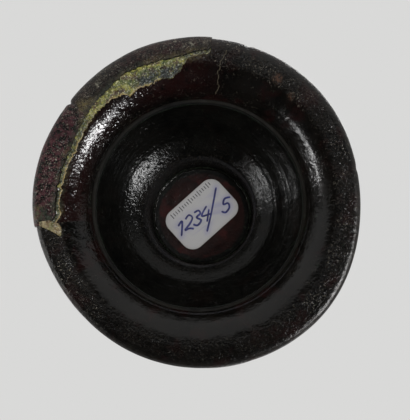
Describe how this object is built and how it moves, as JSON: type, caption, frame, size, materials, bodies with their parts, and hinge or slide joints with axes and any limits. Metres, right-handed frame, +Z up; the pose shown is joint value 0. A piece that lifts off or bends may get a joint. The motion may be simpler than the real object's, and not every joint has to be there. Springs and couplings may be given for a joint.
{
  "type": "bronze vase",
  "caption": "Dark patinated cast bronze vase on a hollow splayed foot, with a globular bowl, ringed neck and flared mouth; the foot's lip has an old mended break.",
  "frame": {"origin": "centre of the ring that the foot stands on, at the lowest face", "axes": "+Z up along the axis of the vase; the mended break of the foot lies towards -X and -Y"},
  "size_m": [0.105, 0.105, 0.1872],
  "materials": {
    "foot_bronze": "dark grey-brown bronze patina, smooth funnel, gritty lip",
    "fragment_a_bronze": "matt grey bronze patina with pale specks",
    "fragment_b_bronze": "matt purple-red bronze patina with specks",
    "break_fill": "old filler stained yellow-green by verdigris",
    "step_bronze": "near-black bronze with fine turning lines",
    "disc_bronze": "dark red-brown bronze patina",
    "label_paper": "aged matt white paper with blue handwritten plain numbers",
    "body_bronze": "dark brown bronze patina, worn brighter on raised rings, verdigris in the joints"
  },
  "bodies": {
    "root": {"foot_skirt": "foot_bronze", "rim_fragment_a": "fragment_a_bronze", "rim_fragment_b": "fragment_b_bronze", "break_fill": "break_fill", "foot_step": "step_bronze", "base_disc": "disc_bronze", "inventory_label": "label_paper", "stem_collar": "body_bronze", "bowl_lower": "body_bronze", "waist_band": "body_bronze", "bowl_upper": "body_bronze", "neck_ring": "body_bronze", "neck": "body_bronze", "neck_knop": "body_bronze", "mouth": "body_bronze", "mouth_bead": "body_bronze"}
  },
  "joints": []
}
